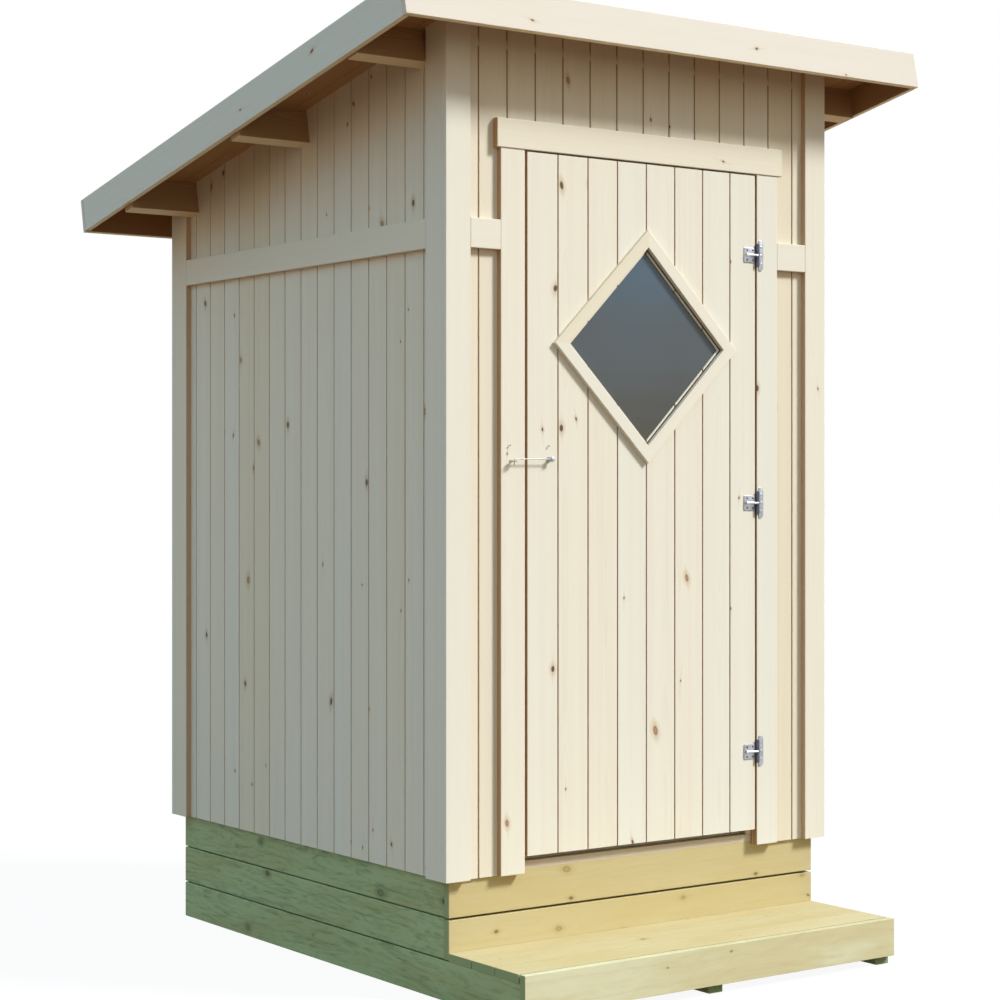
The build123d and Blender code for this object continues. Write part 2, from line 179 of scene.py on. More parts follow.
def knot_marks(f, across, along, share, cell, size):
    """Knots are cells of a stretched cell pattern, kept by chance: most are narrow and dark, a few
    are round and brown. Gives, from 0 to 1, a knot's core, its rim, the halo round it, the streak
    that it throws along the grain and whether it is a brown one, and last the way across from its
    middle, in metres."""
    wide, tall = cell
    cells = f.add(
        "ShaderNodeTexVoronoi", {"voronoi_dimensions": "2D"},
        {"Vector": f.vector(across / wide, along / tall, 0), "Scale": 1.0, "Randomness": 0.9},
    )
    centre_a, centre_l, _ = cells.out("Position").parts()
    chance_size, chance_there, chance_lean = cells.out("Color").parts()
    off_l = along - centre_l * tall
    off_a = across - centre_a * wide + off_l * (chance_lean - 0.5) * 0.5
    there = chance_there < share
    brown = chance_there < share * 0.25
    half_wide = (chance_size * chance_size * 0.0036 + 0.0017 + brown * 0.0028) * size
    half_tall = half_wide * (chance_lean * 0.7 + 1.2 - brown * 0.15)
    away = ((off_a / half_wide) ** 2 + (off_l / half_tall) ** 2) ** 0.5
    core = away.step(1.1, 0.75) * there
    edge = away.step(0.5, 0.9) * away.step(1.35, 1.0) * there
    around = away.step(3.6, 0.9) * there
    tail = abs(off_a / half_wide).step(1.4, 0.2) * abs(off_l).step(0.05, 0.0) * there
    return core, edge, around, tail, brown, off_a


def timber_finish(name, tones, late, cut, knot, rim, ring, wander, figure, streaks, knots, cell,
                  knot_size=1.0, cloud=None, cloud_amount=0.0, swirl=0.0, painted_light_edge=None):
    """Timber. Growth rings are cylinders round each board's own pith, from which its grain vector
    is measured. They wander with noise and part round the knots, so a face shows them as long
    lines and loops. tones are three board colours, and each board lies somewhere between them.
    knots is the share of cells that hold one. Sawn ends take the colour cut, and so do faces marked above 0,
    where it is painted shade. Edges marked below 0 take the last, pale colour, a painted highlight."""
    f = Finish(name, Roughness=WOOD_ROUGHNESS)
    f.shader.inputs["Specular IOR Level"].default_value = 0.25
    grain = f.add("ShaderNodeAttribute", {"attribute_name": "grain"}, {}, "Vector")
    tone = f.add("ShaderNodeAttribute", {"attribute_name": "tone"}, {}, "Fac")
    sawn = f.add("ShaderNodeAttribute", {"attribute_name": "sawn"}, {}, "Fac")
    across, deep, along = grain.parts()
    core, edge, around, tail, brown, off_a = knot_marks(f, across, along, knots, cell, knot_size)

    parted = across - off_a * around * 0.5
    bent = f.vector(parted, deep, along)
    drift = f.noise(bent, (2.6, 2.6, 0.42 + wander * 16), detail=1.0)
    ripple = f.noise(bent, (17, 17, 3.2), detail=2.0)
    radius = (parted * parted + deep * deep) ** 0.5 + drift * wander + ripple * ring * 1.5
    turn = (radius / ring).math("FRACT")
    late_wood = turn ** 3 * turn.step(1.0, 0.88)
    streak = f.noise(bent, (42, 42, 0.7), detail=3.0, rough=0.6)
    fibre = f.noise(bent, (520, 520, 7.0), detail=2.0)
    amount = late_wood * figure * (streak + 0.2) + (streak - 0.44) * streaks + (fibre - 0.5) * 0.12

    colour = f.mix(tone.step(0.0, 0.5), tones[0], tones[1])
    colour = f.mix(tone.step(0.5, 1.0), colour, tones[2])
    if cloud:
        blotch = f.noise(bent, (9, 9, 2.1), detail=4.0, rough=0.62).step(0.4, 0.66)
        colour = f.mix(blotch * cloud_amount, colour, cloud)
        eddy = f.noise(bent, (44, 44, 7.0), detail=6.0, rough=0.68, distort=2.2)
        amount = amount + (eddy - 0.5) * swirl
    colour = f.mix(amount.clamp(), colour, late)
    colour = f.mix(around * 0.5, colour, late)
    colour = f.mix(tail * 0.18, colour, knot)
    colour = f.mix(core * 0.9, colour, f.mix(brown, rim, knot))
    colour = f.mix(edge * 0.45, colour, rim)
    # Marked faces take the cut colour: the real colour of sawn ends, and painted shade on marked board
    # sides, backs and groove floors.
    colour = f.mix(sawn, colour, f.mix((late_wood * 0.35 + fibre * 0.25).clamp(), cut, late))
    # Painted highlight: edges marked below 0 turn pale.
    if painted_light_edge:
        colour = f.mix((sawn * -1).clamp(), colour, painted_light_edge)
    surface = fibre * 0.5 + late_wood * 0.35 - core * 0.4
    f.feed(
        Base_Color=colour,
        Roughness=(fibre - 0.5) * 0.18 + (WOOD_ROUGHNESS - core * 0.12),
        Normal=f.bump(surface, 0.3, 0.0005),
    )
    return f.material


def metal_finish(name, colour, rough):
    """Zinc plate: a soft cloudy tone and fine scuffs."""
    f = Finish(name, Metallic=1.0, Roughness=rough)
    place = f.add("ShaderNodeTexCoord", {}, {}, "Object")
    bloom = f.noise(place, scale=70.0, detail=2.0)
    scuff = f.noise(place, (900, 900, 90), detail=2.0)
    dark = tuple(0.78 * c for c in colour[:3]) + (1,)
    f.feed(
        Base_Color=f.mix(bloom.step(0.35, 0.7), colour, dark),
        Roughness=(bloom - 0.5) * 0.16 + scuff * 0.1 + (rough - 0.05),
        Normal=f.bump(scuff, 0.12, 0.0001),
    )
    return f.material


def felt_finish(name):
    """Mineral felt: dark binder with paler granules and broad fading. Each course has its own
    tone, and the edge that laps the course below is marked and dark with binder."""
    f = Finish(name, Roughness=0.93)
    tone = f.add("ShaderNodeAttribute", {"attribute_name": "tone"}, {}, "Fac")
    lap = f.add("ShaderNodeAttribute", {"attribute_name": "sawn"}, {}, "Fac")
    place = f.add("ShaderNodeTexCoord", {}, {}, "Object")
    grains = f.add(
        "ShaderNodeTexVoronoi", {}, {"Vector": place, "Scale": 620.0, "Randomness": 1.0}, "Distance"
    )
    speck = f.noise(place, scale=420.0, detail=2.0)
    fade = f.noise(place, (2.2, 2.2, 2.2), detail=4.0, rough=0.6)
    colour = f.mix(speck.step(0.42, 0.66), shade(48, 50, 49), shade(104, 108, 104))
    colour = f.mix(fade.step(0.35, 0.75) * 0.35, colour, shade(92, 96, 88))
    streak = f.noise(place, (7, 0.5, 1), detail=3.0, rough=0.6)
    colour = f.mix(streak.step(0.4, 0.75) * 0.3 + tone * 0.25, colour, shade(112, 114, 106))
    colour = f.mix(lap * (0.55 + streak * 0.4), colour, shade(30, 31, 31))
    f.feed(
        Base_Color=colour,
        Roughness=0.97 - speck * 0.12,
        Normal=f.bump(speck * 0.5 - grains, 0.6, 0.0012),
    )
    return f.material


def shade_strip_finish(name):
    """A dull dark brown, faintly uneven: painted shade, laid as a strip where the window frame meets the
    door.
    """
    f = Finish(name, Roughness=0.8)
    place = f.add("ShaderNodeTexCoord", {}, {}, "Object")
    lump = f.noise(place, scale=240.0, detail=3.0)
    f.feed(
        Base_Color=f.mix(lump, shade(58, 46, 34), shade(84, 70, 52)),
        Roughness=lump * 0.2 + 0.7,
        Normal=f.bump(lump, 0.3, 0.0004),
    )
    return f.material


def glass_finish(name):
    """A pane before a dark room, with a painted reflection: cool at the top like the sky, brownish at the
    foot like the ground, with faint bands.
    """
    low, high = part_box("window_glass")
    f = Finish(name, Roughness=0.04, IOR=1.5)
    place = f.add("ShaderNodeTexCoord", {}, {}, "Object")
    _, _, height = place.parts()
    rise = (height - low.z) / (high.z - low.z)
    smear = f.noise(place, (3, 3, 3), detail=3.0)
    band = f.noise(place, (1.2, 1.2, 26), detail=1.0)
    level = rise + (smear - 0.5) * 0.25 + (band - 0.5) * 0.2
    # Painted reflection: the colour runs from brownish below to cool blue above.
    colour = f.mix(level.step(0.05, 0.55), shade(78, 76, 66), shade(84, 92, 95))
    colour = f.mix(level.step(0.5, 1.0), colour, shade(80, 102, 118))
    f.feed(Base_Color=colour, Roughness=smear * 0.05 + 0.02, Alpha=0.86 + smear * 0.06)
    return f.material


# cut, a darker brown, is the end grain and also painted shade on the marked sides of trims and boards.
SPRUCE = dict(
    tones=(shade(225, 215, 190), shade(228, 221, 202), shade(226, 222, 206)),
    late=shade(200, 170, 128), cut=shade(176, 132, 86), knot=shade(166, 128, 88), rim=shade(64, 47, 34),
    ring=0.0027, wander=0.034,
)
# Verge boards: cut is painted shade on the back face towards the building, and the pale edge colour is a
# painted highlight on the long edges.
VERGE = dict(
    SPRUCE, tones=(shade(211, 202, 187), shade(212, 207, 194), shade(212, 214, 203)),
    cut=shade(140, 98, 58), painted_light_edge=shade(240, 226, 192),
)
# Painted shade: the roof boards' underside takes a darker, browner spruce for the shade under the roof.
UNDER_ROOF_SHADE = dict(SPRUCE, tones=(shade(160, 116, 72), shade(166, 122, 76), shade(172, 128, 82)))
# Purlins: the pale tones are painted light on their undersides, and cut is their end grain and also painted
# shade on their front and back faces.
PURLIN = dict(
    SPRUCE, tones=(shade(232, 208, 168), shade(232, 208, 168), shade(234, 212, 174)),
    cut=shade(150, 116, 80),
)
# cut is the treated end grain's green, also used as painted shade on the deck boards' marked sides.
PINE = dict(cut=shade(136, 158, 114), ring=0.009, wander=0.075)

spruce = timber_finish(
    "spruce_planed", figure=0.16, streaks=0.34, knots=0.30, cell=(0.085, 0.30), **SPRUCE
)
spruce_trim = timber_finish(
    "spruce_trim", figure=0.10, streaks=0.18, knots=0.12, cell=(0.07, 0.42), **SPRUCE
)
spruce_verge = timber_finish(
    "spruce_verge", figure=0.2, streaks=0.26, knots=0.28, cell=(0.08, 0.34), **VERGE
)
spruce_under_roof_shade = timber_finish(
    "spruce_under_roof_shade", figure=0.2, streaks=0.4, knots=0.3, cell=(0.085, 0.30), **UNDER_ROOF_SHADE
)
spruce_purlin = timber_finish(
    "spruce_purlin", figure=0.12, streaks=0.3, knots=0.2, cell=(0.08, 0.34), **PURLIN
)
treated = timber_finish(
    "treated_pine",
    tones=(shade(188, 170, 116), shade(208, 197, 158), shade(214, 213, 177)),
    late=shade(178, 158, 106), knot=shade(172, 148, 96), rim=shade(120, 108, 68),
    figure=0.22, streaks=0.5, knots=0.26, cell=(0.07, 0.20), knot_size=0.9,
    cloud=shade(190, 170, 112), cloud_amount=0.45, swirl=0.7, **PINE,
)
treated_green = timber_finish(
    "treated_pine_green",
    tones=(shade(162, 178, 129), shade(166, 183, 132), shade(160, 177, 131)),
    late=shade(92, 116, 76), knot=shade(106, 114, 70), rim=shade(66, 62, 40),
    figure=0.5, streaks=0.8, knots=0.4, cell=(0.10, 0.30), knot_size=1.3,
    cloud=shade(156, 156, 100), cloud_amount=0.55, swirl=2.6, **PINE,
)
zinc = metal_finish("zinc_plate", (0.47, 0.49, 0.53, 1), 0.36)
# Painted highlight: the door ribs take a paler zinc than the plates they are pressed with.
zinc_rib_highlight = metal_finish("zinc_painted_highlight", (0.64, 0.63, 0.58, 1), 0.3)
zinc_wire = metal_finish("zinc_yellowed", (0.50, 0.48, 0.40, 1), 0.58)
# Painted shade: the hinge barrels are made near black; the door screws take the same dark zinc.
zinc_painted_shade = metal_finish("zinc_shadowed", (0.12, 0.125, 0.14, 1), 0.42)
felt = felt_finish("mineral_felt")
shade_strip = shade_strip_finish("painted_shade_strip")
glass = glass_finish("window_pane")


# ---- shapes -------------------------------------------------------------------------------
PITCH = atan(1 / 5)
WORLD = np.eye(3)
FRONT = np.array([[1, 0, 0], [0, -1, 0], [0, 0, 1]], float)
BACK = np.array([[1, 0, 0], [0, 1, 0], [0, 0, 1]], float)
LEFT = np.array([[0, 1, 0], [-1, 0, 0], [0, 0, 1]], float)
RIGHT = np.array([[0, 1, 0], [1, 0, 0], [0, 0, 1]], float)
CROSSWISE = np.array([[0, 1, 0], [0, 0, 1], [1, 0, 0]], float)
ROOF = np.array([[1, 0, 0], [0, sin(PITCH), cos(PITCH)], [0, cos(PITCH), -sin(PITCH)]])
UNDER_ROOF = ROOF * np.array([[1], [-1], [1]])
NONE = np.zeros(1)


def patch(corners, blocks, grain=None, tone=0.5, sawn=None):
    """A part of a piece: its corners, its faces in blocks of one kind, and the grain vector, the board tone
    and the mark of each corner, which gives sawn ends their colour and paints shade or light on marked
    faces."""
    count = len(corners)
    return dict(
        corners=corners, blocks=blocks, tone=np.full(count, tone),
        grain=np.zeros((count, 3)) if grain is None else grain,
        sawn=np.zeros(count) if sawn is None else sawn,
    )


def slab(outer, inner):
    """Corners and faces of a solid between two grids of corners, joined round their rims."""
    rows, columns = outer.shape[:2]
    index = np.arange(rows * columns).reshape(rows, columns)
    a, b, c, d = index[:-1, :-1], index[1:, :-1], index[1:, 1:], index[:-1, 1:]
    face = np.stack((a, b, c, d), -1).reshape(-1, 4)
    rim = np.concatenate((index[:, 0], index[-1, 1:], index[-2::-1, -1], index[0, -2:0:-1]))
    following = np.roll(rim, -1)
    count = rows * columns
    sides = np.stack((rim, following, following + count, rim + count), -1)
    corners = np.vstack((outer.reshape(-1, 3), inner.reshape(-1, 3)))
    return corners, np.vstack((face[:, ::-1], face + count, sides))


def eased(radius, side=0.0):
    """A small quarter round as reach, drop, back limit and side mark, where a side above 0 paints shade on
    the side face and below 0 a highlight: the drop is r - sqrt(r^2 - (r - reach)^2)."""
    reach = radius * np.array((0, 0.3, 1.0))
    drop = radius - np.sqrt(radius**2 - (radius - reach) ** 2)
    return reach, drop, radius, side * np.array((1, 0.6, 0))


def slotted(half, depth, chamfer, back=0.0006):
    """Half of the groove that two matched boards share. Its floor is marked and takes the darker cut colour:
    partly the tongue's own colour, partly painted shade in the groove.
    """
    reach = np.array((0, half, half + 1e-5, half + chamfer))
    return reach, np.array((depth, depth, chamfer, 0)), back, np.array((1, 1, 0, 0))


def chamfered(gap, chamfer, side=0.0):
    """An edge that stands off by gap from the next board, with a small chamfer. side marks the side face,
    painted shade.
    """
    return np.array((gap, gap + chamfer)), np.array((chamfer, 0)), 0.0, np.array((side, 0))


def plank(axes, low, high, edge, end=None, foot=None, head=None, breaks=(), luck=None, tone=None,
          painted_shade_back=False):
    """A board between two corners given as across, outward and along its own axes. Each of its
    two faces is a height over a grid of across by along: flat, less the larger of the drop of its
    long edges and the drop of its ends. The back face takes no more than the edge's back limit.
    foot and head give where the board is cut, as functions of the place across, and breaks are more places
    across, where such a cut bends. With the back marked, the whole back face takes the darker cut colour as
    painted shade, and the ends are left unmarked."""
    axes, low, high = (np.asarray(v, float) for v in (axes, low, high))
    luck = draw.random(6) if luck is None else luck
    reach, drop, back_limit, mark = edge
    tip, tip_drop = (end or (NONE, NONE))[:2]
    inner = np.sort([b for b in breaks if low[0] + reach[-1] + 1e-4 < b < high[0] - reach[-1] - 1e-4])
    across = np.concatenate((low[0] + reach, inner, (high[0] - reach)[::-1]))
    drop_a, mark_a = (np.concatenate((v, np.zeros(len(inner)), v[::-1])) for v in (drop, mark))
    bottom = foot(across) if foot else np.full(len(across), low[2])
    top = head(across) if head else np.full(len(across), high[2])
    along = np.hstack((bottom[:, None] + tip, top[:, None] - tip[::-1]))
    sink = np.maximum(drop_a[:, None], np.concatenate((tip_drop, tip_drop[::-1])))
    place = np.broadcast_to(across[:, None], along.shape)
    outer = np.stack((place, high[1] - sink, along), -1)
    inner_face = np.stack((place, low[1] + np.minimum(sink, back_limit), along), -1)
    local, faces = slab(outer, inner_face)
    if np.linalg.det(axes) < 0:
        faces = faces[:, ::-1]
    # The first and last rows across take the edge's side mark: above 0 painted shade, below 0 a painted
    # highlight. Sawn ends take 1, the real end-grain colour.
    cut = np.zeros(along.shape)
    cut[[0, -1], :] = mark_a[0]
    if end and not painted_shade_back:
        cut[:, [0, -1]] = 1
    # A marked back face is painted shade all over.
    rough = np.zeros(along.shape)
    rough[1:-1, 1:-1] = painted_shade_back
    outer_mark = np.where(cut == 0, mark_a[:, None], cut)
    sawn = np.concatenate((outer_mark.ravel(), np.where(cut == 0, rough, cut).ravel()))
    pith = np.array((
        (luck[0] - 0.5) * 0.11, (0.018 + luck[1] * 0.06) * (1 if luck[2] > 0.5 else -1), luck[3] * 40
    ))
    middle = (low + high) / 2 * np.array((1, 1, 0))
    return patch(local @ axes, [faces], local - middle + pith, luck[4] if tone is None else tone, sawn)


def rings(points, closed=False):
    """A stack of rings, each a row of corners: neighbours are joined by quads, and the two end
    rings are each one face, or joined to each other where closed."""
    index = np.arange(points.shape[0] * points.shape[1]).reshape(points.shape[:2])
    wrapped = np.hstack((index, index[:, :1]))
    if closed:
        wrapped = np.vstack((wrapped, wrapped[:1]))
    quads = np.stack((wrapped[:-1, :-1], wrapped[:-1, 1:], wrapped[1:, 1:], wrapped[1:, :-1]), -1)
    blocks = [quads.reshape(-1, 4)]
    if not closed:
        blocks += [index[:1, ::-1], index[-1:]]
    return patch(points.reshape(-1, 3), blocks)


def turned(centre, axis, profile, sides=24):
    """A turned shape. The profile gives pairs of a reach along the axis and a circle's radius."""
    axis = np.asarray(axis, float)
    first = np.cross((0, 0, 1) if abs(axis[2]) < 0.9 else (1, 0, 0), axis)
    second = np.cross(axis, first)
    turn = np.linspace(0, 2 * pi, sides, endpoint=False)[:, None]
    circle = np.cos(turn) * first + np.sin(turn) * second
    reach, radius = (np.array(v, float)[:, None, None] for v in zip(*profile))
    return rings(np.asarray(centre) + reach * axis + radius * circle)


def tube(path, radius, normal, closed=False, sides=16):
    """A round bar along a flat path: centre + r (n cos t + (tangent x n) sin t), where n is square
    to the path's plane."""
    path, normal = np.asarray(path, float), np.asarray(normal, float)
    ahead = np.roll(path, -1, 0) - np.roll(path, 1, 0) if closed else np.gradient(path, axis=0)
    ahead /= np.linalg.norm(ahead, axis=1)[:, None]
    turn = np.linspace(0, 2 * pi, sides, endpoint=False)[None, :, None]
    radius = np.broadcast_to(radius, len(path))[:, None, None]
    round_ = np.cos(turn) * normal + np.sin(turn) * np.cross(ahead, normal)[:, None, :]
    return rings(path[:, None, :] + radius * round_, closed)


def rounded(corners, radius, steps=4):
    """An outline with its corners rounded: at each corner a curve (1-t)^2 A + 2t(1-t) C + t^2 B
    from A, a radius back along one side, by the corner C to B, a radius along the next."""
    corners = np.asarray(corners, float)
    back, ahead = np.roll(corners, 1, 0) - corners, np.roll(corners, -1, 0) - corners
    start = corners + radius * back / np.linalg.norm(back, axis=1)[:, None]
    stop = corners + radius * ahead / np.linalg.norm(ahead, axis=1)[:, None]
    t = np.linspace(0, 1, steps)[None, :, None]
    curve = (1 - t) ** 2 * start[:, None] + 2 * t * (1 - t) * corners[:, None] + t**2 * stop[:, None]
    return curve.reshape(-1, 2)


def pressing(outline, back, front, arris):
    """A flat plate standing on the front wall: the outline at its back and at its front, pulled in
    by the arris over the last stretch. Each corner moves in by (n + m) / (1 + n.m) of the two
    sides' inward normals."""
    side = np.roll(outline, -1, 0) - outline
    normal = np.stack((-side[:, 1], side[:, 0]), -1) / np.linalg.norm(side, axis=1)[:, None]
    other = np.roll(normal, 1, 0)
    pull = (normal + other) / (1 + (normal * other).sum(1))[:, None]
    levels = ((back, 0), (front + arris, 0), (front + 0.3 * arris, 0.3 * arris), (front, arris))
    stack = [np.stack((o[:, 0], np.full(len(o), y), o[:, 1]), -1)
             for y, o in ((y, outline + pull * inset) for y, inset in levels)]
    return rings(np.array(stack))


def screw_head(x, y, z, radius):
    """A domed head with a cross slot: over a disc of radius and turn, height is
    0.36 R (1 - 0.8 (r/R)^2), less a slot where the lesser of the two offsets is under 0.13 R."""
    turn = np.linspace(0, 2 * pi, 48, endpoint=False)
    reach = radius * np.array((1.0, 0.97, 0.8, 0.58, 0.5, 0.3, 0.16, 0.06))[:, None]
    u, v = reach * np.cos(turn), reach * np.sin(turn)
    slot = (np.minimum(abs(u), abs(v)) < 0.13 * radius) & (reach < 0.55 * radius)
    height = 0.36 * radius * (1 - 0.8 * (reach / radius) ** 2) - 0.22 * radius * slot
    height[0] = 0
    return rings(np.stack((x + u, y - height, z + v), -1))


def piece(name, body, finish, patches, stands_for=(), smooth=False):
    """Joins patches into one object that rides on a body."""
    mesh = bpy.data.meshes.new(name)
    starts = np.cumsum([0] + [len(p["corners"]) for p in patches])
    faces = []
    for part, start in zip(patches, starts):
        for block in part["blocks"]:
            faces += (block + start).tolist()
    mesh.from_pydata(np.vstack([p["corners"] for p in patches]).tolist(), [], faces)
    grain = mesh.attributes.new("grain", "FLOAT_VECTOR", "POINT")
    grain.data.foreach_set("vector", np.vstack([p["grain"] for p in patches]).ravel())
    for mark in ("tone", "sawn"):
        numbers = np.concatenate([p[mark] for p in patches])
        mesh.attributes.new(mark, "FLOAT", "POINT").data.foreach_set("value", numbers)
    mesh.polygons.foreach_set("use_smooth", np.full(len(mesh.polygons), smooth))
    if smooth:
        mesh.set_sharp_from_angle(angle=radians(38))
    mesh.materials.append(finish)
    mesh.update()
    made = bpy.data.objects.new(name, mesh)
    bpy.context.scene.collection.objects.link(made)
    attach(made, body)
    for node in stands_for:
        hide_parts(node)
    return made


def solids(node, axes=WORLD):
    """Lowest and highest corner, along the given axes, of each separate solid of a CAD node. Every
    edge has a random number. A triangle that runs along the edge one way adds it and its
    neighbour, which runs the other way, takes it off, so the running total over the triangles is
    0 wherever the skin of a solid closes."""
    mesh = frame["nodes"][node].data
    points = np.empty(len(mesh.vertices) * 3)
    mesh.vertices.foreach_get("co", points)
    corners = np.empty(len(mesh.loops), int)
    mesh.loops.foreach_get("vertex_index", corners)
    _, same = np.unique(np.round(points.reshape(-1, 3), 5), axis=0, return_inverse=True)
    start = same.ravel()[corners].reshape(-1, 3)
    stop = np.roll(start, -1, 1)
    _, edge = np.unique(np.minimum(start, stop) * len(points) + np.maximum(start, stop), return_inverse=True)
    number = np.random.default_rng(1).random(edge.max() + 1)[edge.reshape(-1, 3)]
    total = (number * np.sign(stop - start)).sum(1).cumsum()
    closed = np.flatnonzero(abs(total) < 1e-7)[:-1] + 1
    local = points.reshape(-1, 3)[corners] @ axes.T
    return [(skin.min(0), skin.max(0)) for skin in np.split(local, closed * 3)]


def timbers(name, node, finish, axes=WORLD, arris=0.0015, body="outhouse", tone=None, side=0.0,
            edge=None):
    """Each solid of a CAD node as a rounded board: the grain runs along its longest side, and its
    shortest side is its thickness."""
    patches = []
    for low, high in solids(node, axes):
        thin, wide, long = np.argsort(high - low)
        order = [wide, thin, long]
        long_edges = edge or eased(arris, side)
        patches.append(plank(axes[order], low[order], high[order], long_edges, eased(arris), tone=tone))
    return piece(name, body, finish, patches, [node])


def side_shade_inside(board, axis, middle):
    """Keeps a board's painted side shade only on the half that lies nearer to the middle of the wall."""
    place = board["corners"][:, axis]
    centre = (place.min() + place.max()) / 2
    board["sawn"][(place - centre) * (middle - centre) < 0] = 0
    return board


def spans(low, high, joints):
    """The boards between two places, from the joints that fall between them."""
    cuts = [low, *[j for j in sorted(joints) if low + 0.006 < j < high - 0.006], high]
    return list(zip(cuts[:-1], cuts[1:]))


ROOF_UNDER = solids("roof_boards", ROOF)[0][0][1]


def under_roof(y):
    """Height of the roof boards' underside at a depth."""
    return (ROOF_UNDER - y * sin(PITCH)) / cos(PITCH)


# ---- walls --------------------------------------------------------------------------------
FRONT_BOARD, FRONT_JOINT_X = 0.08292, 0.0006
SIDE_BOARD, SIDE_JOINT_Y = 0.08129, 0.6242
CLAD_JOINT = slotted(0.0019, 0.0046, 0.0009)
WARM = np.array((1, 1, 1, 1, 0.5, 1))   # halves the draw of the tone, which favours warm boards
front_joints = [FRONT_JOINT_X + FRONT_BOARD * k for k in range(-8, 9)]
side_joints = [SIDE_JOINT_Y - SIDE_BOARD * k for k in range(-2, 17)]


def cladding(node, axes, joints, sloping=False):
    """Tongued boards standing side by side over a CAD wall."""
    (low, high), = solids(node, axes)
    patches = [
        plank(axes, (a0, low[1], low[2]), (a1, high[1], high[2]), CLAD_JOINT,
              head=under_roof if sloping else None)
        for a0, a1 in spans(low[0], high[0], joints)
    ]
    return piece(node + "_boards", "outhouse", spruce, patches, [node])


def front_cladding():
    """The front wall's boards. A board over the doorway starts at its head, and a board across
    the doorway's edge is cut back below the head."""
    (left_low, _), = solids("front_wall_left", FRONT)
    (_, right_high), = solids("front_wall_right", FRONT)
    (top_low, top_high), = solids("front_wall_top", FRONT)
    foot, head, top = left_low[2], top_low[2], top_high[2]
    made = []

    def board(a0, a1, z0, z1):
        made.append(plank(FRONT, (a0, top_low[1], z0), (a1, top_high[1], z1), CLAD_JOINT, luck=luck))

    for a0, a1 in spans(left_low[0], right_high[0], front_joints):
        luck = draw.random(6) * WARM
        if a1 <= top_low[0] or a0 >= top_high[0]:
            board(a0, a1, foot, top)
            continue
        board(a0, a1, head, top)
        a1 = top_low[0] if a0 < top_low[0] else a1
        a0 = top_high[0] if a1 > top_high[0] else a0
        if a0 < top_low[0] or a1 > top_high[0]:
            board(a0, a1, foot, head)
    return piece("front_wall_boards", "outhouse", spruce, made,
                 ["front_wall_left", "front_wall_right", "front_wall_top"])


front_cladding()
cladding("back_wall", BACK, front_joints)
cladding("left_wall", LEFT, side_joints, sloping=True)
cladding("right_wall", RIGHT, side_joints, sloping=True)

# ---- trims --------------------------------------------------------------------------------
# side paints shade on the trims' side faces, in the darker, warmer cut colour.
for node, side in (("wall_bands", 0.3), ("door_casings", 1), ("head_casing", 0.15)):
    timbers(node + "_planed", node, spruce_trim, side=side)
# Corner boards: painted shade, the darker cut colour, on the side face next to the cladding.
for node, axes, axis in (
    ("front_corner_boards", FRONT, 0), ("back_corner_boards", BACK, 0),
    ("side_corner_boards", LEFT, 1), ("side_corner_boards", RIGHT, 1),
):
    middle = np.mean(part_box(node), axis=0)[axis]
    head = under_roof if axis else None
    boards = [
        side_shade_inside(plank(axes, low, high, eased(0.0015, side=0.8), head=head), axis, middle)
        for low, high in solids(node, axes) if axis == 0 or low[1] > 0
    ]
    name = node + ("_planed" if axis == 0 else "_left" if axes is LEFT else "_right")
    piece(name, "outhouse", spruce_trim, boards, [node])
timbers("threshold_planed", "threshold", spruce_trim, arris=0.002)

# ---- base, step and floor -----------------------------------------------------------------
FRAME_ARRIS = 0.0025
for name, node in (
    ("skid_timbers", "base_skids"), ("side_timbers", "base_side_timbers"),
    ("cross_timbers", "base_cross_timbers"), ("joist_timbers", "floor_joists"),
):
    timbers(name, node, treated_green, arris=FRAME_ARRIS)
timbers("facing_boards", "base_facings", treated, arris=0.0015, tone=0.2)
# The deck boards' side faces are marked: painted shade in the gaps between them.
timbers("step_deck_boards", "step_boards", treated, arris=0.001, tone=0.28,
        edge=chamfered(0.0008, 0.0006, side=1.0))
timbers("step_nosing_board", "step_front", treated, arris=0.0006, tone=0.85)
timbers("packer_blocks", "packers", treated_green, arris=0.0006)

FLOOR_BOARD = 0.095
# side=0.35 paints some shade on the floor boards' side faces, among them the front edge seen under the door.
FLOOR_JOINT = chamfered(0.0003, 0.0008, side=0.35)
(low, high), = solids("floor", CROSSWISE)
patches = [
    plank(CROSSWISE, (a0, low[1], low[2]), (a1, high[1], high[2]), FLOOR_JOINT)
    for a0, a1 in spans(low[0], high[0], [low[0] + FLOOR_BOARD * k for k in range(1, 15)])
]
piece("floor_boards", "outhouse", spruce, patches, ["floor"])

# ---- framing ------------------------------------------------------------------------------
for node in ("corner_posts", "door_posts", "door_header", "sole_plates", "wall_rails"):
    timbers(node + "_sawn", node, spruce, arris=FRAME_ARRIS)
timbers("top_plates_sawn", "top_plates", spruce, axes=ROOF, arris=FRAME_ARRIS)

# ---- roof ---------------------------------------------------------------------------------
ROOF_ARRIS = 0.0012
ROOF_BOARD = 0.095
ROOF_JOINT = slotted(0.001, 0.005, 0.0016)
COURSES = 3
FELT_STEP = 0.0004


def verge(node, tone):
    """A board along the roof's edge, with its planed face away from the building. Its face towards the
    building is painted with shade, a darker brown, and its long edges are painted light."""
    (low, high), = solids(node, ROOF)
    thin, wide, long = np.argsort(high - low)
    order = [wide, thin, long]
    middle = np.mean(solids("roof_boards", ROOF)[0], axis=0)
    away = np.ones(3)
    away[thin] = np.sign((low + high)[thin] / 2 - middle[thin])
    ends = np.sort((low * away, high * away), axis=0)[:, order]
    board = plank((ROOF * away[:, None])[order], *ends, eased(ROOF_ARRIS, side=-1.0), eased(ROOF_ARRIS),
                  tone=tone, painted_shade_back=True)
    return piece(node + "_planed", "outhouse", spruce_verge, [board], [node])


ALONG_PURLIN = [2, 1, 0]
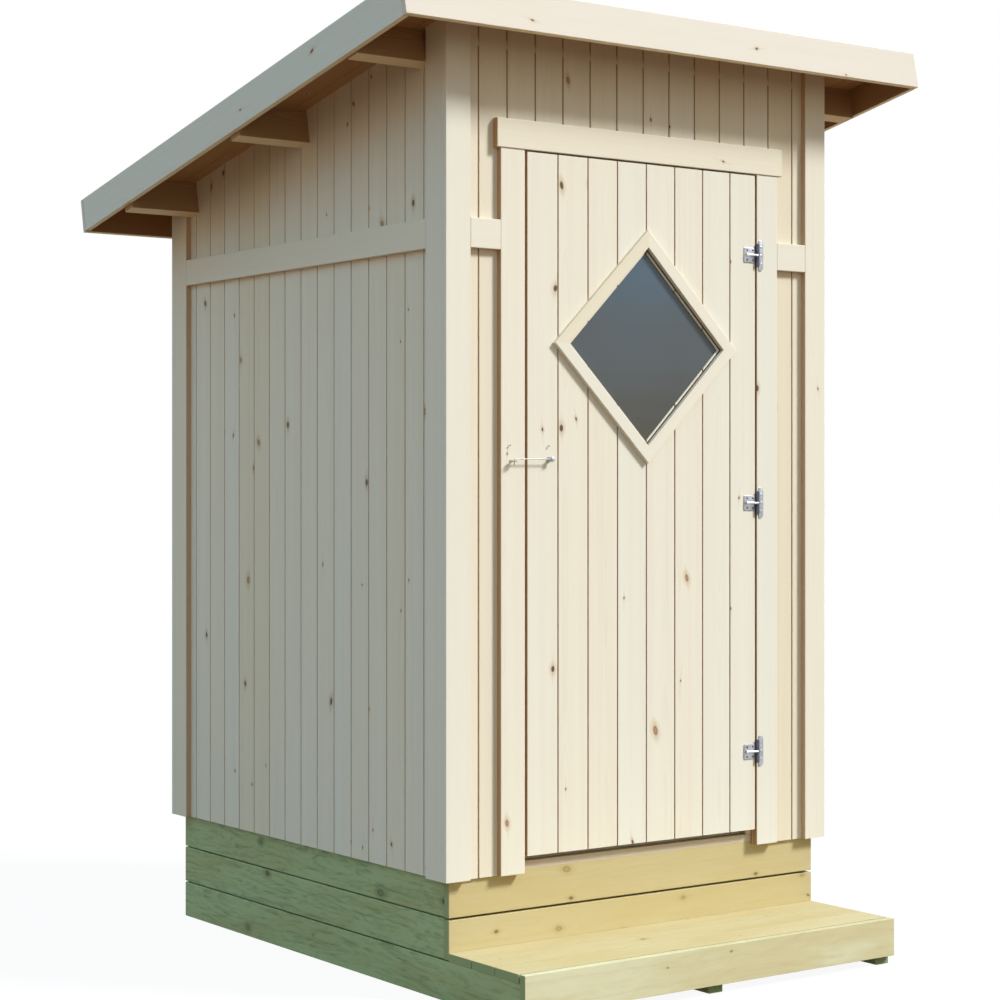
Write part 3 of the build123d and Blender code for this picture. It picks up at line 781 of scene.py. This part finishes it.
# The purlins' front and back faces are marked: painted shade.
patches = [
    plank(UNDER_ROOF[ALONG_PURLIN], low[ALONG_PURLIN], high[ALONG_PURLIN],
          eased(ROOF_ARRIS, side=1.0), eased(ROOF_ARRIS))
    for low, high in solids("purlins", UNDER_ROOF)
]
piece("purlin_timbers", "outhouse", spruce_purlin, patches, ["purlins"])
# The barges take the cooler tone and the fascias the warmer one: painted to match the bluer shade that falls
# on the barges.
for node, tone in (
    ("left_bargeboard", 1.0), ("right_bargeboard", 1.0), ("front_fascia", 0.0), ("rear_fascia", 0.5),
):
    verge(node, tone)
(low, high), = solids("roof_boards", UNDER_ROOF)
patches = [
    plank(UNDER_ROOF, (a0, low[1], low[2]), (a1, high[1], high[2]), ROOF_JOINT)
    for a0, a1 in spans(low[0], high[0], [ROOF_BOARD * (k + 0.5) for k in range(-9, 9)])
]
# The sheathing boards wear the painted under-roof shade.
piece("roof_sheathing_boards", "outhouse", spruce_under_roof_shade, patches, ["roof_boards"])


def felt_sheet():
    """Felt in courses laid from the eaves up. Its top is a height over slope and width: the CAD
    thickness less FELT_STEP, and up to that much back for a lap, which fades over a ninth of a
    course, and for a slow ripple."""
    (low, high), = solids("roof_covering", ROOF)
    slope = np.linspace(low[2], high[2], 181)[:, None]
    across = np.linspace(low[0], high[0], 25)[None, :]
    course = (slope - low[2]) / (high[2] - low[2]) * COURSES
    lapped = course > 0.05
    lap = 0.0009 * np.clip(1 - (course % 1) * 9, 0, 1) * lapped
    ripple = 0.0002 * np.sin(across * 21 + 3 * np.sin(slope * 7)) * np.sin(slope * 16)
    top = high[1] - FELT_STEP + np.minimum(lap + ripple, FELT_STEP)
    place, run = np.broadcast_to(across, top.shape), np.broadcast_to(slope, top.shape)
    local, faces = slab(np.stack((place, top, run), -1), np.stack((place, top * 0 + low[1], run), -1))
    tone = np.broadcast_to(draw.random(COURSES + 1)[course.astype(int)], top.shape).ravel()
    edge = np.broadcast_to(np.clip(1 - (course % 1) * 30, 0, 1) * lapped, top.shape).ravel()
    return patch(local @ ROOF, [faces], tone=np.tile(tone, 2), sawn=np.tile(edge, 2))


piece("roof_felt", "outhouse", felt, [felt_sheet()], ["roof_covering"])

# ---- door ---------------------------------------------------------------------------------
DOOR_BOARD, DOOR_JOINT_OFF = 0.091, 0.0024
DOOR_GAP = 0.0011
FRONT_HOLE, REBATE = 0.330, 0.352
FRAME_OPENING, FRAME_OUTER, SHADE_STRIP_OPENING = 0.345, 0.406, 0.338
(low, high), = solids("door_leaf", FRONT)
glass_low, glass_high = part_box("window_glass")
light_x, light_z = (glass_low.x + glass_high.x) / 2, (glass_low.z + glass_high.z) / 2
rebate_face = -glass_low.y


def door_layer(back, front, hole, edge):
    """The door's boards between two depths, cut round a square hole that stands on its corner."""
    reach = hole / 2**0.5
    made = []

    def rise(x):
        return np.maximum(reach - np.abs(x - light_x), 0)

    for (a0, a1), luck in zip(door_spans, door_luck):
        corners = (a0, back, low[2]), (a1, front, high[2])
        cuts = dict(luck=luck, breaks=(light_x - reach, light_x, light_x + reach))
        if a1 < light_x - reach or a0 > light_x + reach:
            made.append(plank(FRONT, *corners, edge, **cuts))
        else:
            made.append(plank(FRONT, *corners, edge, head=lambda x: light_z - rise(x), **cuts))
            made.append(plank(FRONT, *corners, edge, foot=lambda x: light_z + rise(x), **cuts))
    return made


door_joints = [light_x + DOOR_JOINT_OFF + DOOR_BOARD * k for k in range(-3, 4)]
door_spans = spans(low[0], high[0], door_joints)
door_luck = draw.random((len(door_spans), 6))
door_luck[:, 4] = 0.4 + 0.6 * door_luck[:, 4]   # the paler tones only
# Painted shade: the front boards' side faces are marked, and the back layer's front face, seen through the
# gaps between them, is marked all over; both take the darker cut colour.
patches = door_layer(rebate_face, high[1], FRONT_HOLE, chamfered(DOOR_GAP, 0.0011, side=1.0))
for board in door_layer(low[1], rebate_face, REBATE, chamfered(0, 0.0006)):
    board["sawn"][:len(board["sawn"]) // 2] = 1
    patches.append(board)
piece("door_boards", "door", spruce, patches, ["door_leaf"])
timbers("door_ledges_planed", "door_ledges", spruce_trim, arris=0.004, body="door")


def mitred_square(back, front, opening, outer, arris):
    """Four mitred boards round the window. Each runs along its side and is cut at 45 degrees."""
    made = []
    for quarter in range(4):
        turn = pi / 4 + quarter * pi / 2
        axes = np.array(((cos(turn), 0, sin(turn)), (0, -1, 0), (-sin(turn), 0, cos(turn))))
        centre = axes @ np.array((light_x, 0, light_z))
        made.append(plank(
            axes, (centre[0] + opening / 2, back, 0), (centre[0] + outer / 2, front, 1), eased(arris),
            foot=lambda a, c=centre: c[2] - (a - c[0]), head=lambda a, c=centre: c[2] + (a - c[0]),
        ))
    return made


frame_low, frame_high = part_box("window_frame")
bead_low, bead_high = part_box("window_bead")
piece("window_frame_boards", "door", spruce_trim,
      mitred_square(-frame_high.y, -frame_low.y, FRAME_OPENING, FRAME_OUTER, 0.0012), ["window_frame"])
piece("window_bead_strips", "door", spruce_trim,
      mitred_square(-bead_high.y, -bead_low.y, FRONT_HOLE, REBATE, 0.001), ["window_bead"])
# Painted shade: a thin dark strip inside the window frame's opening, on the door face.
piece("window_shade_strip", "door", shade_strip,
      mitred_square(-frame_high.y, -frame_high.y + 0.001, SHADE_STRIP_OPENING, FRAME_OPENING, 0.0003))
pane = frame["nodes"]["window_glass"]
pane.data.materials.clear()
pane.data.materials.append(glass)

# ---- hinges -------------------------------------------------------------------------------
OUTWARD, UP = (0, -1, 0), (0, 0, 1)
PLATE, PLATE_ARRIS, STRAP_ARRIS = 0.0025, 0.0007, 0.0005
CASING_PLATE, CASING_STRAIGHT = 0.015, 0.031
CASING_STRAP_NEAR, CASING_STRAP_FAR, DOOR_STRAP = 0.0085, 0.028, 0.008
KNUCKLE, KNUCKLE_EASE = 0.005, 0.0006
PIN, PIN_END, PIN_HALF, PIN_EASE = 0.0025, 0.0016, 0.03, 0.0008
SCREW_OFF, CASING_SCREW, DOOR_SCREW = 0.021, 0.0032, 0.003
face_y = -high[1]
hinge_x, hinge_y, _ = frame["record"]["behaviour"]["joints"][0]["pos_m"]


def strap(x0, x1, z0, z1):
    """A flat strip of plate on the front wall."""
    outline = np.array(((x0, z0), (x1, z0), (x1, z1), (x0, z1)))
    return pressing(outline, face_y, face_y - PLATE, STRAP_ARRIS)


def knuckle(z, z0, z1):
    """A rolled barrel on the hinge's axis, between two heights measured from the hinge's middle."""
    narrow = KNUCKLE - KNUCKLE_EASE
    profile = (z0, narrow), (z0 + KNUCKLE_EASE, KNUCKLE), (z1 - KNUCKLE_EASE, KNUCKLE), (z1, narrow)
    return turned((hinge_x, hinge_y, z), UP, profile)


def casing_leaf(low, high):
    """Plates, barrels with their pin, and screws of one leaf on the casing: an upright plate with
    narrower ends, and two straps to the barrels."""
    z, half = (low[2] + high[2]) / 2, (high[2] - low[2]) / 2
    x0, x1 = high[0] - CASING_PLATE, high[0]
    tip0, tip1 = x0 + 0.001, x1 - 0.005
    outline = (
        (x0, z - CASING_STRAIGHT), (tip0, z - half), (tip1, z - half), (x1, z - CASING_STRAIGHT),
        (x1, z + CASING_STRAIGHT), (tip1, z + half), (tip0, z + half), (x0, z + CASING_STRAIGHT),
    )
    plates = [pressing(rounded(outline, 0.002), face_y, face_y - PLATE, PLATE_ARRIS)]
    barrels, screws = [], []
    for way in (-1, 1):
        z0, z1 = sorted((way * CASING_STRAP_NEAR, way * CASING_STRAP_FAR))
        plates.append(strap(hinge_x, tip0, z + z0, z + z1))
        barrels.append(knuckle(z, z0, z1))
        screws.append(screw_head((x0 + x1) / 2, face_y - PLATE, z + way * SCREW_OFF, CASING_SCREW))
    screws.append(screw_head((x0 + x1) / 2, face_y - PLATE, z, CASING_SCREW))
    pin_run = PIN_HALF - PIN_EASE
    pin = (-PIN_HALF, PIN_END), (-pin_run, PIN), (pin_run, PIN), (PIN_HALF, PIN_END)
    barrels.append(turned((hinge_x, hinge_y, z), UP, pin))
    return plates, barrels, screws


def rib(x0, z):
    """The pressed rib of a door leaf: a bar that thins from a blunt end at the plate to the
    barrel. Its radius falls evenly, times a quarter round at each end."""
    run = np.linspace(0, 1, 22)
    swell = np.sqrt(np.clip(1 - (1 - np.minimum(run / 0.08, 1)) ** 2, 0.02, 1))
    taper = np.sqrt(np.clip(1 - (np.maximum(run - 0.93, 0) / 0.07) ** 2, 0.02, 1))
    start, stop = x0 + 0.003, hinge_x + 0.0022
    spine = np.stack((start + run * (stop - start), face_y - 0.0052 - run * 0.003, run * 0 + z), -1)
    return tube(spine, (0.0046 - 0.0022 * run) * swell * taper, UP)


def door_plate(low, high):
    """Plates, barrel, rib and screws of one leaf on the door."""
    z, half = (low[2] + high[2]) / 2, (high[2] - low[2]) / 2
    x0, x1 = low[0], hinge_x - 0.0045
    outline = ((x0, z - half), (x1, z - half), (x1, z + half), (x0, z + half))
    plates = [
        pressing(rounded(outline, 0.0025), face_y, face_y - PLATE, PLATE_ARRIS),
        strap(x1 - 0.001, hinge_x, z - DOOR_STRAP, z + DOOR_STRAP),
    ]
    screws = [
        screw_head(x0 + across * (x1 - x0), face_y - PLATE, z + up, DOOR_SCREW)
        for across in (0.25, 0.75) for up in (-0.0125, 0.0125)
    ]
    return plates, [knuckle(z, -DOOR_STRAP, DOOR_STRAP)], [rib(x0, z)], screws


def gathered(make, node):
    """The like parts of all the leaves of a CAD node, put together."""
    return [sum(parts, []) for parts in zip(*(make(low, high) for low, high in solids(node)))]


casing_plates, casing_knuckles, casing_screws = gathered(casing_leaf, "hinge_frame_leaves")
door_plates, door_knuckles, door_ribs, door_screws = gathered(door_plate, "hinge_door_leaves")
for name, body, finish, patches, nodes in (
    ("hinge_casing_plates", "outhouse", zinc, casing_plates, ["hinge_frame_leaves"]),
    ("hinge_casing_knuckles", "outhouse", zinc_painted_shade, casing_knuckles, []),
    ("hinge_casing_screws", "outhouse", zinc, casing_screws, []),
    ("hinge_door_plates", "door", zinc, door_plates, ["hinge_door_leaves"]),
    ("hinge_door_knuckles", "door", zinc_painted_shade, door_knuckles, []),
    ("hinge_door_ribs", "door", zinc_rib_highlight, door_ribs, []),
    ("hinge_door_screws", "door", zinc_painted_shade, door_screws, []),
):
    piece(name, body, finish, patches, nodes, smooth=True)

# ---- cabin hook ---------------------------------------------------------------------------
ROD, ROD_SHOWN = 0.002, 0.0014          # radius of the solid bar and of the drawn one
RING_OUTER, RING_SHOWN, BEND = 0.0075, 0.0054, 0.006
EYE, WIRE = 0.0062, 0.0018
NAIL, NAIL_HEAD, NAIL_UP = 0.0009, 0.0021, 0.032
(hook_low, hook_high), = solids("hook")
(screw_low, screw_high), = solids("hook_pivot")
(eye_low, eye_high), = solids("hook_eye")
eye_x, pivot_x = hook_low[0] + ROD, hook_high[0] - RING_OUTER
bar_y, bar_z = (hook_low[1] + hook_high[1]) / 2, hook_high[2] - RING_OUTER
eye_z = (eye_low[2] + eye_high[2]) / 2
round_trip = np.linspace(0, 2 * pi, 32, endpoint=False)


def hook_rod():
    """The bar runs level from the ring, turns down over the eye through a quarter round of radius
    BEND, and narrows to a point."""
    arc = np.linspace(0, pi / 2, 9)
    bar = [(pivot_x - RING_SHOWN, bar_z), ((pivot_x + eye_x) / 2, bar_z)]
    bar += list(zip(eye_x + BEND - BEND * np.sin(arc), bar_z - BEND + BEND * np.cos(arc)))
    bar += [(eye_x, hook_low[2] + up) for up in (0.0012, 0.0003, 0)]
    bar = np.array([(x, bar_y, z) for x, z in bar])
    thick = np.full(len(bar), ROD_SHOWN)
    thick[-2:] *= 0.8, 0.3
    ring = np.stack((
        pivot_x + RING_SHOWN * np.cos(round_trip), round_trip * 0 + bar_y,
        bar_z + RING_SHOWN * np.sin(round_trip),
    ), -1)
    return [tube(bar, thick, (0, 1, 0)), tube(ring, ROD_SHOWN, (0, 1, 0), closed=True)]


def pivot_screw():
    """A screw with a broad foot on the door, a neck that the hook's ring turns on, and a head."""
    tall = screw_high[1] - screw_low[1]
    return [turned((pivot_x, screw_high[1], bar_z), OUTWARD, (
        (0, 0.007), (0.0022, 0.007), (0.003, 0.0062), (0.003, 0.004), (0.0115, 0.004),
        (0.0115, 0.0025), (tall - 0.003, 0.0025), (tall - 0.003, 0.005), (tall - 0.0018, 0.0049),
        (tall - 0.0006, 0.0034), (tall, 0.001),
    ))]


def screw_eye():
    """A wire ring that lies level, on a shank with a small plate at the casing."""
    shank = eye_high[1] - bar_y - EYE
    ring = np.stack((
        eye_x + EYE * np.sin(round_trip), bar_y + EYE * np.cos(round_trip), round_trip * 0 + eye_z
    ), -1)
    foot = (0, 0.005), (0.0009, 0.005), (0.0015, 0.0044), (0.0015, 0.0016), (shank, 0.0016)
    return [
        tube(ring[::-1], WIRE, UP, closed=True),
        turned((eye_x, eye_high[1], eye_z), OUTWARD, foot),
    ]


def nail(x):
    """A round wire nail left standing a little proud, over one end of the hook."""
    profile = (0, NAIL), (0.0046, NAIL), (0.0046, NAIL_HEAD), (0.0054, 0.0022), (0.006, 0.0016)
    return [turned((x, face_y, bar_z + NAIL_UP), OUTWARD, profile)]


for name, body, finish, patches, nodes in (
    ("hook_rod", "hook", zinc_wire, hook_rod(), ["hook"]),
    ("hook_pivot_screw", "door", zinc, pivot_screw(), ["hook_pivot"]),
    ("hook_screw_eye", "outhouse", zinc_wire, screw_eye(), ["hook_eye"]),
    ("casing_nail", "outhouse", zinc, nail(eye_x - 0.005), []),
    ("door_nail", "door", zinc, nail(pivot_x - 0.002), []),
):
    piece(name, body, finish, patches, nodes, smooth=True)

# ---- floor, light and camera --------------------------------------------------------------
WHITE = (1, 1, 1, 1)
FLOOR_HALF = 60
SKY_LOW, SKY_HIGH, SKY_SHADE = (0.70, 0.64, 0.50, 1), (0.52, 0.57, 0.62, 1), (0.475, 0.98, 1.43, 1)
GROUND_LIGHT = (0.182, 0.113, 0.068, 1)
SHADOW_SHARE = 0.07
SUN_POWER, SUN_WIDTH, SUN_COLOUR, SUN_WAY = 4.03, 13, (0.944, 0.967, 1.0), (-0.527, 0.566, -0.682)
EYE_PLACE, EYE_TURN, LENS, LENS_SHIFT = (-3.5220, -4.9356, 1.2032), (90, 0, -35.545), 80.99, -0.014


def placed(name, data):
    """A new object in the scene."""
    made = bpy.data.objects.new(name, data)
    bpy.context.scene.collection.objects.link(made)
    return made


def white_floor():
    """A white floor that takes a faint shadow. To the eye it glows white for the most part, and to
    the light it is a ground of its own colour."""
    mesh = bpy.data.meshes.new("studio_floor")
    corners = [(x * FLOOR_HALF, y * FLOOR_HALF, 0) for x, y in ((-1, -1), (1, -1), (1, 1), (-1, 1))]
    mesh.from_pydata(corners, [], [(0, 1, 2, 3)])
    pale = bpy.data.materials.new("studio_white")
    graph = Graph(pale)
    glow = graph.add("ShaderNodeEmission", {}, {"Color": WHITE, "Strength": 1.0})
    matt = graph.add("ShaderNodeBsdfDiffuse", {}, {"Color": (0.9, 0.9, 0.9, 1)})
    ground = graph.add("ShaderNodeBsdfDiffuse", {}, {"Color": GROUND_LIGHT})
    shown = graph.add("ShaderNodeMixShader", {}, {0: SHADOW_SHARE, 1: glow, 2: matt})
    both = graph.add("ShaderNodeMixShader", {}, {0: graph.seen(), 1: ground, 2: shown})
    graph.add("ShaderNodeOutputMaterial", {}, {0: both})
    mesh.materials.append(pale)
    studio_floor = placed("studio_floor", mesh)


def open_sky():
    """White to the eye. To the light it is warm near the ground, cooler overhead, and blue on the
    shaded side, to the left."""
    world = bpy.data.worlds.new("open_shade")
    bpy.context.scene.world = world
    graph = Graph(world)
    right, _, rise = graph.add("ShaderNodeTexCoord", {}, {}, "Generated").parts()
    tint = graph.mix(rise.step(0.1, 0.7), SKY_LOW, SKY_HIGH)
    tint = graph.mix((right * -1).clamp() * rise.step(0.15, 0.45), tint, SKY_SHADE)
    sky = graph.add("ShaderNodeBackground", {}, {"Color": tint, "Strength": 1.0})
    plain = graph.add("ShaderNodeBackground", {}, {"Color": WHITE, "Strength": 1.0})
    both = graph.add("ShaderNodeMixShader", {}, {0: graph.seen(), 1: sky, 2: plain})
    graph.add("ShaderNodeOutputWorld", {}, {0: both})


def sun():
    """Soft daylight from the front right."""
    lamp = bpy.data.lights.new("key_light", "SUN")
    lamp.energy = SUN_POWER
    lamp.angle = radians(SUN_WIDTH)
    lamp.color = SUN_COLOUR
    key = placed("key_light", lamp)
    key.rotation_mode = "QUATERNION"
    key.rotation_quaternion = Vector(SUN_WAY).to_track_quat("-Z", "Y")


def eye():
    """The camera, level, to the left of the door."""
    lens = bpy.data.cameras.new("camera")
    lens.sensor_width = 36.0
    lens.lens = LENS
    lens.shift_y = LENS_SHIFT
    camera = placed("camera", lens)
    camera.location = EYE_PLACE
    camera.rotation_euler = [radians(turn) for turn in EYE_TURN]
    bpy.context.scene.camera = camera


white_floor()
open_sky()
sun()
eye()
bpy.context.scene.view_settings.view_transform = "Standard"
